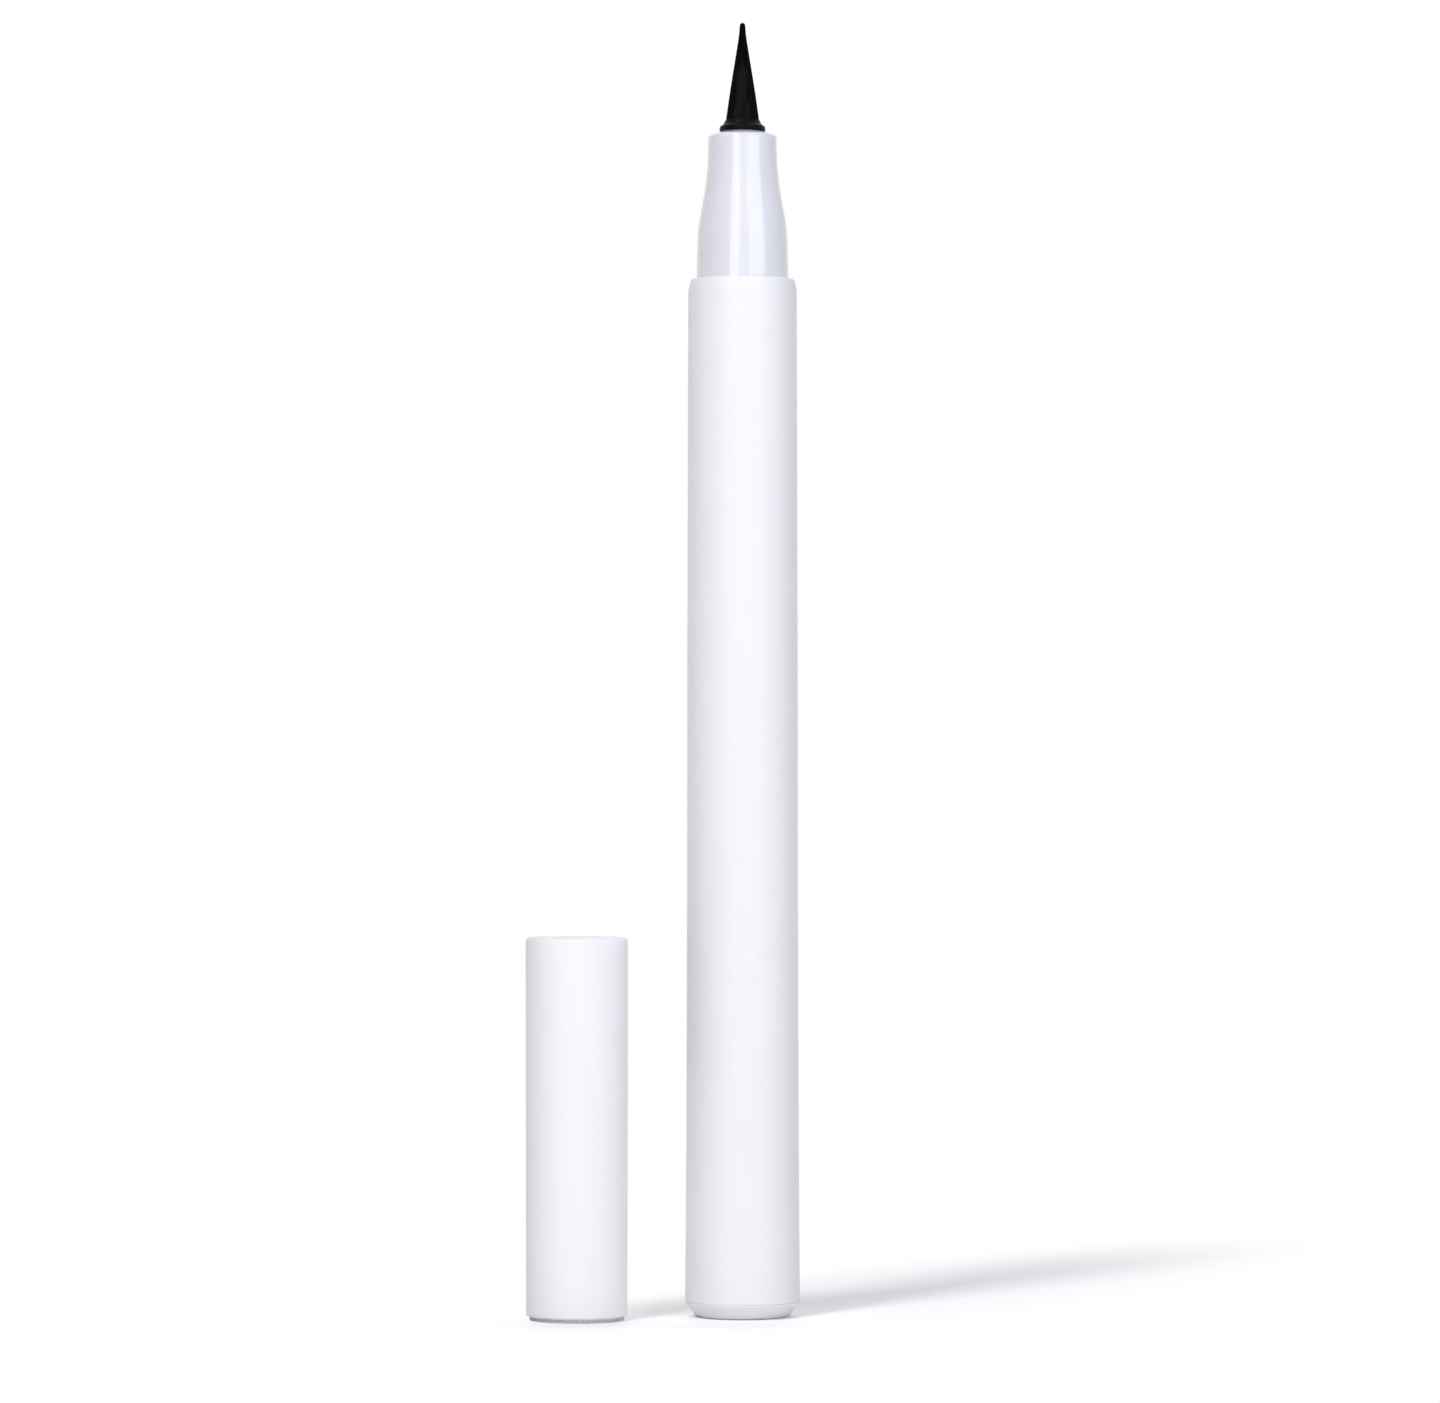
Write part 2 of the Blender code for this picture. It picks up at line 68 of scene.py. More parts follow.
# Floor: how much it throws back, how bright the camera sees it, which is more than a real floor could be, and
# where it fades to plain white.
# The lit part is long and narrow and lies along the pen's shadow, which runs away from the key lamp, and it
# ends a little in front of the feet.
FLOOR_RADIUS = 4.0
FLOOR_SIDES = 128
FLOOR_LIT_RADIUS = 0.027
FLOOR_WHITE_RADIUS = 0.095
FLOOR_LIT_MIDDLE = 0.03
FLOOR_FRONT_LIT = 0.006
FLOOR_FRONT_WHITE = 0.016
FLOOR_SQUEEZE = (4.0, 1.0, 1.0)
FLOOR_BOUNCE = 0.87
FLOOR_SHOWN = (1.15, 1.15, 1.185, 1.0)
WORLD_STRENGTH = 0.06

# Lamps: azimuth and elevation in degrees, distance, width, height, watts and colour
LAMP_AIM = (0.0, 0.0, 0.06)
LAMPS = {
    "key": (-31.2, 48.2, 4.0, 0.68, 0.68, 46.2, (1.0, 1.0, 1.0)),
    "left_strip": (-21.0, 17.0, 0.8, 0.3, 0.5, 1.16, (1.0, 1.0, 1.0)),
    "front_strip": (-2.0, 17.0, 0.8, 0.36, 0.5, 0.46, (1.0, 1.0, 1.0)),
    "right_strip": (36.5, 17.0, 0.8, 0.59, 0.5, 2.28, (0.9, 0.92, 1.0)),
    "back": (180.0, 20.0, 1.3, 0.8, 0.4, 6.8, (1.0, 1.0, 1.0)),
    "overhead": (0.0, 90.0, 1.1, 1.2, 1.2, 4.0, (1.0, 1.0, 1.0)),
}
# The lamp behind fills the far side, and its glare would eat the outline that the camera sees
LAMPS_WITHOUT_GLARE = ("back",)

# Fineness of the turned pieces
TURN_STEPS = 192
ROUND_STEPS = 5
RING_SPACING = 0.0024
MERGE_DISTANCE = 0.0000005
SHARP_ANGLE_DEG = 32.0

# Seams between the outer pieces, and the small breaks on their moulded edges
SEAM = 0.00002
SEAM_BREAK = 0.00002
EDGE_BREAK = 0.00006

# Barrel
BARREL_BORE = 0.00446
# Radius, depth below the front end, and reach of each corner of the shoulder
BARREL_SHOULDER = ((0.00499, 0.0, 0.00015), (0.00512, 0.00066, 0.0002), (0.005215, 0.00108, 0.0002))
# Radius and height of the places down the side where the taper changes a little
BARREL_SIDE = ((0.00529, 0.0668), (0.00531, 0.0440), (0.0054, 0.0150))

# Tail plug
PLUG_CHAMFER_WIDTH = 0.00112
PLUG_CHAMFER_HEIGHT = 0.00135
PLUG_LAND_TOP = 0.0015
PLUG_CORNER_REACH = 0.00025
PLUG_FOOT_REACH = 0.0004
# Painted shade: the pen's foot is painted darker below these heights, as the contact shade under it
PEN_FOOT_SHADE_FULL = 0.00025
PEN_FOOT_SHADE_END = 0.0008
PLUG_SPIGOT_RADIUS = 0.00423
PLUG_WALL = 0.0010
PLUG_FLOOR = 0.0010
PLUG_RIM_RADIUS = 0.0034
PLUG_RIM_GROOVE = 0.00006

# Nose section
NOSE_BASE_RADIUS = 0.00443
NOSE_BASE_TOP_RADIUS = 0.00434
NOSE_FRONT_RADIUS = 0.00333
NOSE_RIM_RADIUS = 0.0033
NOSE_FACE_RADIUS = 0.00222
NOSE_BORE = 0.00190
NOSE_REAR_BORE = 0.00355
NOSE_BASE_TOP = 0.1036
NOSE_TAPER_LENGTH = 0.0072
NOSE_TAPER_SHARES = ((0.2, 0.16), (0.4, 0.44), (0.6, 0.69), (0.8, 0.865))
NOSE_TAPER_REACH = 0.0007
NOSE_RIM_DROP = 0.00042
NOSE_RIM_REACH = 0.00025

# Ferrule
FERRULE_SHANK_RADIUS = 0.00185
FERRULE_FOOT_RADIUS = 0.0022
FERRULE_FOOT_HEIGHT = 0.0005
FERRULE_FOOT_REACH = 0.00016
FERRULE_FLARE_TOP = 0.00072
FERRULE_FLARE_RADIUS = 0.00182
FERRULE_COLLAR_TOP = 0.0011
FERRULE_COLLAR_RADIUS = 0.00167
FERRULE_BORE = 0.0016
FERRULE_FLARE_REACH = 0.0001
FERRULE_RIM_REACH = 0.00003

# Brush: a core, and filaments laid round it that run to the point
BRUSH_CORE_SHARE = 0.93
BRUSH_CORE_STEPS = 48
BRUSH_POINT_SHARES = (
    (0.0, 1.0), (0.06, 0.975), (0.3, 0.77), (0.54, 0.537), (0.66, 0.417), (0.82, 0.262),
    (0.9, 0.196), (0.95, 0.178), (0.982, 0.158), (0.995, 0.1), (1.0, 0.03))
FILAMENT_COUNT = 88
FILAMENT_SIDES = 6
FILAMENT_OVERLAP = 1.12
FILAMENT_LIFT_SHARE = 0.02
FILAMENT_SWAY_DEG = 1.6
BRUSH_SEED = 7

# Cap
CAP_BORE = 0.00446
CAP_UPPER_BORE = 0.00412
CAP_STEP_HEIGHT = 0.0240
CAP_CEILING = 0.0352
CAP_BOSS_RADIUS = 0.0028
CAP_BOSS_DEPTH = 0.0010
CAP_MOUTH_RADIUS = 0.00482
CAP_TOP_REACH = 0.00043
CAP_MOUTH_REACH = 0.00026
CAP_LIP_RADIUS = 0.00449
CAP_LIP_HEIGHT = 0.00036
CAP_SNAP_HEIGHT = 0.0021
CAP_SNAP_RADIUS = 0.00441
CAP_SNAP_LENGTH = 0.0009
CAP_GATE_RADIUS = 0.0006
CAP_GATE_DEPTH = 0.00004

# Inner cap
SKIRT_RADIUS = 0.00422
SKIRT_BORE = 0.00338
SKIRT_ROOF = 0.0010
SKIRT_TOP = 0.0186
SKIRT_REACH = 0.00025
CHAMBER_RADIUS = 0.00295
CHAMBER_OUTER_RADIUS = 0.0034
CHAMBER_ROOF = 0.0010
FLANGE_RADIUS = 0.0040
FLANGE_BOTTOM = 0.0242
FLANGE_TOP = 0.0252

# Retainer ring and return spring
RING_BORE = 0.00352
RING_REACH = 0.0002
SPRING_RADIUS = 0.0033
SPRING_WIRE_RADIUS = 0.0002
SPRING_END_PITCH = 0.00045
SPRING_WORKING_TURNS = 5.5
SPRING_STEPS_PER_TURN = 40
SPRING_SIDES = 10

# Patterns in the finishes. A scale is a noise scale on metres. A run squeezes a pattern along each axis, so
# that it runs along the axis with the smallest number. A range says where a mask starts and where it is full.
GRAIN_SCALE = 5200.0
GRAIN_STRENGTH = 0.6
DRAW_SCALE = 2400.0
DRAW_RUN = (1.0, 1.0, 0.02)
DRAW_SHARE = 0.35
MOTTLE_SCALE = 210.0
MOTTLE_RANGE = (0.3, 0.7)
SMUDGE_SCALE = 160.0
SMUDGE_RANGE = (0.42, 0.72)
SCUFF_SCALE = 900.0
SCUFF_SLANT = (0.5, 0.9, 0.3)
SCUFF_RUN = (1.0, 1.0, 0.04)
SCUFF_RANGE = (0.66, 0.72)
SCUFF_PATCH_SCALE = 95.0
SCUFF_PATCH_RANGE = (0.5, 0.62)
SCUFF_DEPTH_SHARE = 0.3
# Convex edges: rubbed wear in the roughness, and painted edge highlight in the lighter worn colour
WEAR_START = 0.52
WEAR_FULL = 0.62
WEAR_BREAK_SCALE = 1300.0
WEAR_BREAK_RANGE = (0.35, 0.65)
WEAR_LEAST = 0.35
WEAR_AND_HIGHLIGHT_SHARE = 0.5
WEAR_ROUGHNESS = 0.05
# Breaks in the painted contact shade on the feet
FOOT_SHADE_BREAK_SCALE = 2600.0
FOOT_SHADE_BREAK_RANGE = (0.3, 0.7)
FOOT_SHADE_LEAST_COVER = 0.8

# Grooves on the filaments, dried liner on them, and painted sheen streaks on the side that faces the camera
GROOVES_ROUND = 240.0
GROOVE_SWAY_SCALE = 900.0
GROOVE_SWAY = 0.05
# Painted sheen: how many lighter streaks run round the bundle, and how strong they are
SHEEN_STREAKS_ROUND = 3.0
SHEEN_STREAK_SHARE = 0.2
DRY_PATCH_SCALE = 1400.0
DRY_PATCH_RUN = (1.0, 1.0, 0.25)
DRY_AND_SHEEN_RANGE = (0.35, 0.68)
WET_HEIGHT = 0.1205
WET_RANGE = (-0.0015, 0.001)
WET_SHARE = 0.5

# What moulded_plastic takes for each finish, and what the finish has besides
BARREL_FINISH = {
    "colour": (0.905, 0.907, 0.937, 1.0), "deep_colour": (0.895, 0.897, 0.93, 1.0),
    "worn_and_highlight_colour": (0.915, 0.917, 0.945, 1.0), "roughness": 0.40, "smudged": 0.05, "grain": 0.000006,
}
BARREL_SPECULAR = 0.35
# Painted contact shade on the pen's foot
PEN_FOOT_PAINTED_SHADE = (0.82, 0.81, 0.855, 1.0)
CAP_FINISH = {
    "colour": (0.962, 0.936, 0.974, 1.0), "deep_colour": (0.952, 0.926, 0.967, 1.0),
    "worn_and_highlight_colour": (0.96, 0.948, 0.975, 1.0), "roughness": 0.6, "smudged": 0.05, "grain": 0.000006,
}
CAP_SPECULAR = 0.12
# Painted shade for the gap under the cap's mouth, on its set-back lip
CAP_LIP_PAINTED_SHADE = (0.5, 0.49, 0.55, 1.0)
NOSE_FINISH = {
    "colour": (0.765, 0.77, 0.85, 1.0), "deep_colour": (0.755, 0.76, 0.843, 1.0),
    "worn_and_highlight_colour": (0.80, 0.80, 0.87, 1.0), "roughness": 0.17, "smudged": 0.04, "grain": 0.000001,
    "draw_share": 0.7,
}
NOSE_SPECULAR = 0.45
NOSE_COAT = 0.72
NOSE_COAT_ROUGHNESS = 0.12
NATURAL_FINISH = {
    "colour": (0.80, 0.81, 0.82, 1.0), "deep_colour": (0.76, 0.77, 0.79, 1.0),
    "worn_and_highlight_colour": (0.86, 0.86, 0.87, 1.0), "roughness": 0.34, "smudged": 0.04, "grain": 0.000003,
}
NATURAL_SUBSURFACE = 0.25
NATURAL_SUBSURFACE_REACH = (0.0006, 0.0006, 0.0007)
BLACK_FINISH = {
    "colour": (0.0012, 0.0012, 0.0036, 1.0), "deep_colour": (0.0009, 0.0009, 0.0028, 1.0),
    "worn_and_highlight_colour": (0.003, 0.003, 0.007, 1.0), "roughness": 0.36, "smudged": 0.08, "grain": 0.000002,
}
BLACK_SPECULAR = 0.06

# The finishes that aren't moulded
WET_COLOUR = (0.0014, 0.0014, 0.0017, 1.0)
# Dried liner, and the painted sheen on the filaments' camera side
DRY_AND_SHEEN_COLOUR = (0.0112, 0.0104, 0.0102, 1.0)
FILAMENT_ROUGHNESS = (0.4, 0.65)
FILAMENT_SPECULAR = 0.03
PATTERN_RANGE = (0.3, 0.7)
FIBRE_SCALE = 9000.0
FIBRE_RUN = (1.0, 1.0, 0.03)
FIBRE_COLOURS = ((0.012, 0.012, 0.015, 1.0), (0.045, 0.045, 0.05, 1.0))
FIBRE_ROUGHNESS = (0.7, 0.95)
FILM_SCALE = 700.0
FILM_RUN = (1.0, 1.0, 0.2)
FILM_COLOUR = (0.85, 0.87, 0.9, 1.0)
FILM_CLEARNESS = 0.85
FILM_IOR = 1.49
FILM_ROUGHNESS = (0.08, 0.2)
STEEL_SCALE = 7000.0
STEEL_COLOURS = ((0.56, 0.56, 0.58, 1.0), (0.68, 0.68, 0.69, 1.0))
STEEL_ROUGHNESS = (0.2, 0.36)


def span(name):
    """The lowest and the highest height of a CAD node."""
    low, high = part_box(name)
    return low.z, high.z


def radius_of(name):
    low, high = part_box(name)
    return (high.x - low.x) / 2


def axis_of(name):
    """Where the node's own axis stands on the floor."""
    low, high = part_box(name)
    return ((low.x + high.x) / 2, (low.y + high.y) / 2)


# Nodes, sockets and groups of the materials

def add(tree, kind, **settings):
    made = tree.nodes.new(kind)
    for name, value in settings.items():
        setattr(made, name, value)
    return made


def feed(tree, socket, value):
    """Links an output to a socket, or sets the socket's own value."""
    if isinstance(value, bpy.types.NodeSocket):
        tree.links.new(value, socket)
    else:
        socket.default_value = value


def maths(tree, operation, *values):
    made = add(tree, "ShaderNodeMath", operation=operation)
    for socket, value in zip(made.inputs, values):
        feed(tree, socket, value)
    return made.outputs[0]


def remapped(tree, value, low, high, to_low=0.0, to_high=1.0):
    made = add(tree, "ShaderNodeMapRange", interpolation_type="SMOOTHSTEP")
    for socket, number in zip(made.inputs, (value, low, high, to_low, to_high)):
        feed(tree, socket, number)
    return made.outputs[0]


def blended(tree, share, first, second):
    """A colour between two colours. The Mix node takes them at inputs 6 and 7 and gives output 2."""
    made = add(tree, "ShaderNodeMix", data_type="RGBA")
    feed(tree, made.inputs["Factor"], share)
    feed(tree, made.inputs[6], first)
    feed(tree, made.inputs[7], second)
    return made.outputs[2]


def noise(tree, place, scale, detail=2.0, roughness=0.5, distortion=0.0):
    made = add(tree, "ShaderNodeTexNoise")
    for label, value in (("Vector", place), ("Scale", scale), ("Detail", detail),
                         ("Roughness", roughness), ("Distortion", distortion)):
        feed(tree, made.inputs[label], value)
    return made.outputs["Fac"]


def stretched(tree, place, scale):
    """The place scaled along each axis, so that a pattern on it runs along the smallest scale."""
    made = add(tree, "ShaderNodeVectorMath", operation="MULTIPLY")
    feed(tree, made.inputs[0], place)
    made.inputs[1].default_value = scale
    return made.outputs["Vector"]


def effect_group(name, inputs, outputs):
    """An empty node group, with the outputs of its input node by name."""
    tree = bpy.data.node_groups.new(name, "ShaderNodeTree")
    for label, kind, value in inputs:
        socket = tree.interface.new_socket(label, in_out="INPUT", socket_type=kind)
        if value is not None:
            socket.default_value = value
    for label in outputs:
        tree.interface.new_socket(label, in_out="OUTPUT", socket_type="NodeSocketFloat")
    return tree, tree.nodes.new("NodeGroupInput").outputs, tree.nodes.new("NodeGroupOutput").inputs


def moulded_skin_group():
    """The skin that a steel mould leaves: a very fine grain, draw lines along the piece, and mottling."""
    tree, given, out = effect_group(
        "moulded_skin",
        (("Place", "NodeSocketVector", None), ("Grain Scale", "NodeSocketFloat", GRAIN_SCALE),
         ("Draw Scale", "NodeSocketFloat", DRAW_SCALE), ("Draw Share", "NodeSocketFloat", DRAW_SHARE)),
        ("Height", "Mottle"))
    grain = noise(tree, given["Place"], given["Grain Scale"], detail=3.0, roughness=0.6)
    draw = noise(tree, stretched(tree, given["Place"], DRAW_RUN), given["Draw Scale"], detail=2.0)
    grain_part = maths(tree, "MULTIPLY", grain, maths(tree, "SUBTRACT", 1.0, given["Draw Share"]))
    draw_part = maths(tree, "MULTIPLY", draw, given["Draw Share"])
    feed(tree, out["Height"], maths(tree, "ADD", grain_part, draw_part))
    broad = noise(tree, given["Place"], MOTTLE_SCALE, detail=3.0, distortion=0.4)
    feed(tree, out["Mottle"], remapped(tree, broad, *MOTTLE_RANGE))
    return tree


def handling_group():
    """What fingers leave on a clean piece: soft smudges, and a few hairline scuffs."""
    tree, given, out = effect_group(
        "handling",
        (("Place", "NodeSocketVector", None), ("Smudge Scale", "NodeSocketFloat", SMUDGE_SCALE),
         ("Scuff Scale", "NodeSocketFloat", SCUFF_SCALE)),
        ("Smudge", "Scuff"))
    smudge = noise(tree, given["Place"], given["Smudge Scale"], detail=4.0, roughness=0.6, distortion=1.2)
    feed(tree, out["Smudge"], remapped(tree, smudge, *SMUDGE_RANGE))
    slanted = add(tree, "ShaderNodeMapping")
    feed(tree, slanted.inputs["Vector"], given["Place"])
    slanted.inputs["Rotation"].default_value = SCUFF_SLANT
    along = stretched(tree, slanted.outputs["Vector"], SCUFF_RUN)
    line = noise(tree, along, given["Scuff Scale"], detail=1.0)
    patch = noise(tree, given["Place"], SCUFF_PATCH_SCALE, detail=1.0)
    line_mask = remapped(tree, line, *SCUFF_RANGE)
    patch_mask = remapped(tree, patch, *SCUFF_PATCH_RANGE)
    feed(tree, out["Scuff"], maths(tree, "MULTIPLY", line_mask, patch_mask))
    return tree


def edge_wear_and_highlight_group():
    """The convex edges, broken up by noise: rubbed wear, and where the colour is lighter a painted edge
    highlight.
    """
    tree, given, out = effect_group(
        "edge_wear_and_highlight",
        (("Place", "NodeSocketVector", None), ("Start", "NodeSocketFloat", WEAR_START),
         ("Full", "NodeSocketFloat", WEAR_FULL)),
        ("Mask",))
    pointed = add(tree, "ShaderNodeNewGeometry").outputs["Pointiness"]
    convex = remapped(tree, pointed, given["Start"], given["Full"])
    patches = noise(tree, given["Place"], WEAR_BREAK_SCALE, detail=3.0)
    broken = remapped(tree, patches, *WEAR_BREAK_RANGE, WEAR_LEAST)
    feed(tree, out["Mask"], maths(tree, "MULTIPLY", convex, broken))
    return tree


def filament_group():
    """Fine grooves along a bundle on the Z axis, patches of dried liner, and lighter streaks that are painted
    sheen.

    The painted sheen streaks are lightest on the -Y side, which faces the camera. Above the wet height the
    point is wet all round.
    """
    tree, given, out = effect_group(
        "filaments",
        (("Place", "NodeSocketVector", None), ("Filaments Round", "NodeSocketFloat", GROOVES_ROUND),
         ("Sheen Streaks Round", "NodeSocketFloat", SHEEN_STREAKS_ROUND), ("Wet Height", "NodeSocketFloat", WET_HEIGHT)),
        ("Height", "Dry And Sheen"))
    parts = add(tree, "ShaderNodeSeparateXYZ")
    feed(tree, parts.inputs[0], given["Place"])
    turn = maths(tree, "ARCTAN2", parts.outputs["Y"], parts.outputs["X"])
    sway = maths(tree, "MULTIPLY", noise(tree, given["Place"], GROOVE_SWAY_SCALE), GROOVE_SWAY)
    turns = maths(tree, "MULTIPLY", maths(tree, "ADD", turn, sway), given["Filaments Round"])
    feed(tree, out["Height"], maths(tree, "SINE", turns))
    from_camera_side = maths(tree, "ADD", turn, math.pi / 2)
    # Painted sheen: lighter streaks that peak on the -Y side, which faces the camera
    sheen_streaks = maths(tree, "COSINE", maths(tree, "MULTIPLY", from_camera_side, given["Sheen Streaks Round"]))
    patches = noise(tree, stretched(tree, given["Place"], DRY_PATCH_RUN), DRY_PATCH_SCALE, detail=3.0)
    above = maths(tree, "SUBTRACT", parts.outputs["Z"], given["Wet Height"])
    wet_point = remapped(tree, above, *WET_RANGE, 0.0, WET_SHARE)
    dried_and_sheen = maths(tree, "ADD", patches, maths(tree, "MULTIPLY", sheen_streaks, SHEEN_STREAK_SHARE))
    dry_and_sheen = maths(tree, "SUBTRACT", dried_and_sheen, wet_point)
    feed(tree, out["Dry And Sheen"], remapped(tree, dry_and_sheen, *DRY_AND_SHEEN_RANGE))
    return tree


MOULDED_SKIN = moulded_skin_group()
HANDLING = handling_group()
EDGE_WEAR_AND_HIGHLIGHT = edge_wear_and_highlight_group()
FILAMENTS = filament_group()


def placed(tree, group, place, **values):
    """A node group in a material, with its own values."""
    made = add(tree, "ShaderNodeGroup", node_tree=group)
    feed(tree, made.inputs["Place"], place)
    for label, value in values.items():
        made.inputs[label.replace("_", " ").title()].default_value = value
    return made.outputs


def new_material(name):
    """A material's node tree, its shader and the place on the object."""
    material = bpy.data.materials.new(name)
    material.use_nodes = True
    tree = material.node_tree
    place = add(tree, "ShaderNodeTexCoord").outputs["Object"]
    return material, tree, tree.nodes["Principled BSDF"].inputs, place


def bumped(tree, shader, height, distance, strength):
    bump = add(tree, "ShaderNodeBump")
    feed(tree, bump.inputs["Height"], height)
    bump.inputs["Distance"].default_value = distance
    bump.inputs["Strength"].default_value = strength
    feed(tree, shader["Normal"], bump.outputs["Normal"])


def moulded_plastic(name, colour, deep_colour, worn_and_highlight_colour, roughness, smudged, grain,
                    draw_share=DRAW_SHARE):
    """Moulded plastic: mottled colour, edges painted lighter as wear and painted highlight, smudges in the
    gloss and a fine grain.
    """
    material, tree, shader, place = new_material(name)
    skin = placed(tree, MOULDED_SKIN, place, draw_share=draw_share)
    marks = placed(tree, HANDLING, place)
    wear_highlight_mask = placed(tree, EDGE_WEAR_AND_HIGHLIGHT, place)
    mottled = blended(tree, skin["Mottle"], colour, deep_colour)
    # Painted edge highlight and wear: convex edges take the lighter worn colour
    worn_and_highlit = maths(tree, "MULTIPLY", wear_highlight_mask["Mask"], WEAR_AND_HIGHLIGHT_SHARE)
    feed(tree, shader["Base Color"], blended(tree, worn_and_highlit, mottled, worn_and_highlight_colour))
    gloss = maths(tree, "ADD", roughness, maths(tree, "MULTIPLY", marks["Smudge"], smudged))
    gloss = maths(tree, "ADD", gloss, maths(tree, "MULTIPLY", marks["Scuff"], smudged))
    rubbed = maths(tree, "MULTIPLY", wear_highlight_mask["Mask"], WEAR_ROUGHNESS)
    feed(tree, shader["Roughness"], maths(tree, "ADD", gloss, rubbed))
    scuff_depth = maths(tree, "MULTIPLY", marks["Scuff"], SCUFF_DEPTH_SHARE)
    scored = maths(tree, "SUBTRACT", skin["Height"], scuff_depth)
    bumped(tree, shader, scored, distance=grain, strength=GRAIN_STRENGTH)
    return material, shader


def paint_foot_shade(tree, shader, full_below, none_above, colour):
    """Painted contact shade: the part that a piece stands on is painted darker, broken up by noise, to give
    the dark lines of shade under the feet.
    """
    place = add(tree, "ShaderNodeTexCoord").outputs["Object"]
    parts = add(tree, "ShaderNodeSeparateXYZ")
    feed(tree, parts.inputs[0], place)
    low = remapped(tree, parts.outputs["Z"], full_below, none_above, 1.0, 0.0)
    patches = noise(tree, place, FOOT_SHADE_BREAK_SCALE, detail=3.0)
    broken = remapped(tree, patches, *FOOT_SHADE_BREAK_RANGE, FOOT_SHADE_LEAST_COVER)
    shade_cover = maths(tree, "MULTIPLY", low, broken)
    skin = shader["Base Color"].links[0].from_socket
    feed(tree, shader["Base Color"], blended(tree, shade_cover, skin, colour))


def barrel_white():
    material, shader = moulded_plastic("satin_white_plastic", **BARREL_FINISH)
    shader["Specular IOR Level"].default_value = BARREL_SPECULAR
    # Painted contact shade on the pen's foot
    paint_foot_shade(material.node_tree, shader, PEN_FOOT_SHADE_FULL, PEN_FOOT_SHADE_END, PEN_FOOT_PAINTED_SHADE)
    return material


def cap_white():
    material, shader = moulded_plastic("satin_lavender_white_plastic", **CAP_FINISH)
    shader["Specular IOR Level"].default_value = CAP_SPECULAR
    # Painted shade on the cap's set-back lip, under its mouth
    paint_foot_shade(material.node_tree, shader, CAP_LIP_HEIGHT - EDGE_BREAK, CAP_LIP_HEIGHT, CAP_LIP_PAINTED_SHADE)
    return material


def nose_white():
    material, shader = moulded_plastic("gloss_lavender_plastic", **NOSE_FINISH)
    shader["Specular IOR Level"].default_value = NOSE_SPECULAR
    shader["Coat Weight"].default_value = NOSE_COAT
    shader["Coat Roughness"].default_value = NOSE_COAT_ROUGHNESS
    return material


def natural_plastic():
    material, shader = moulded_plastic("natural_plastic", **NATURAL_FINISH)
    shader["Subsurface Weight"].default_value = NATURAL_SUBSURFACE
    shader["Subsurface Radius"].default_value = NATURAL_SUBSURFACE_REACH
    shader["Subsurface Scale"].default_value = 1.0
    return material


def black_plastic():
    material, shader = moulded_plastic("black_plastic", **BLACK_FINISH)
    shader["Specular IOR Level"].default_value = BLACK_SPECULAR
    return material


def black_filament():
    material, tree, shader, place = new_material("black_filament")
    bundle = placed(tree, FILAMENTS, place)
    # The lighter colour is dried liner and painted sheen
    feed(tree, shader["Base Color"], blended(tree, bundle["Dry And Sheen"], WET_COLOUR, DRY_AND_SHEEN_COLOUR))
    feed(tree, shader["Roughness"], remapped(tree, bundle["Dry And Sheen"], 0.0, 1.0, *FILAMENT_ROUGHNESS))
    bumped(tree, shader, bundle["Height"], distance=0.000008, strength=0.5)
    shader["Specular IOR Level"].default_value = FILAMENT_SPECULAR
    return material


def inked_fibre():
    material, tree, shader, place = new_material("inked_fibre")
    strands = noise(tree, stretched(tree, place, FIBRE_RUN), FIBRE_SCALE, detail=3.0)
    feed(tree, shader["Base Color"], blended(tree, strands, *FIBRE_COLOURS))
    feed(tree, shader["Roughness"], remapped(tree, strands, *PATTERN_RANGE, *FIBRE_ROUGHNESS))
    bumped(tree, shader, strands, distance=0.00004, strength=0.8)
    return material


def clear_film():
    material, tree, shader, place = new_material("clear_film")
    ripple = noise(tree, stretched(tree, place, FILM_RUN), FILM_SCALE)
    shader["Base Color"].default_value = FILM_COLOUR
    shader["Transmission Weight"].default_value = FILM_CLEARNESS
    shader["IOR"].default_value = FILM_IOR
    feed(tree, shader["Roughness"], remapped(tree, ripple, *PATTERN_RANGE, *FILM_ROUGHNESS))
    bumped(tree, shader, ripple, distance=0.00002, strength=0.5)
    return material


def spring_steel():
    material, tree, shader, place = new_material("spring_steel")
    drawn = noise(tree, place, STEEL_SCALE, detail=3.0)
    feed(tree, shader["Base Color"], blended(tree, drawn, *STEEL_COLOURS))
    shader["Metallic"].default_value = 1.0
    feed(tree, shader["Roughness"], remapped(tree, drawn, *PATTERN_RANGE, *STEEL_ROUGHNESS))
    bumped(tree, shader, drawn, distance=0.000004, strength=0.5)
    return material


FINISHES = {
    "barrel_white": barrel_white(),
    "cap_white": cap_white(),
    "nose_white": nose_white(),
    "natural_plastic": natural_plastic(),
    "black_plastic": black_plastic(),
    "black_filament": black_filament(),
    "inked_fibre": inked_fibre(),
    "clear_film": clear_film(),
    "spring_steel": spring_steel(),
}


# Making pieces

def finished(name, shape, body, slot, *nodes):
    """The shape as a smooth piece that rides on a body and stands for CAD nodes, in its slot's finish."""
    mesh = bpy.data.meshes.new(name)
    shape.to_mesh(mesh)
    shape.free()
    mesh.shade_smooth()
    mesh.set_sharp_from_angle(angle=math.radians(SHARP_ANGLE_DEG))
    mesh.materials.append(FINISHES[slot])
    piece = bpy.data.objects.new(name, mesh)
    bpy.context.scene.collection.objects.link(piece)
    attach(piece, body)
    if nodes:
        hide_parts(*nodes)
    return piece


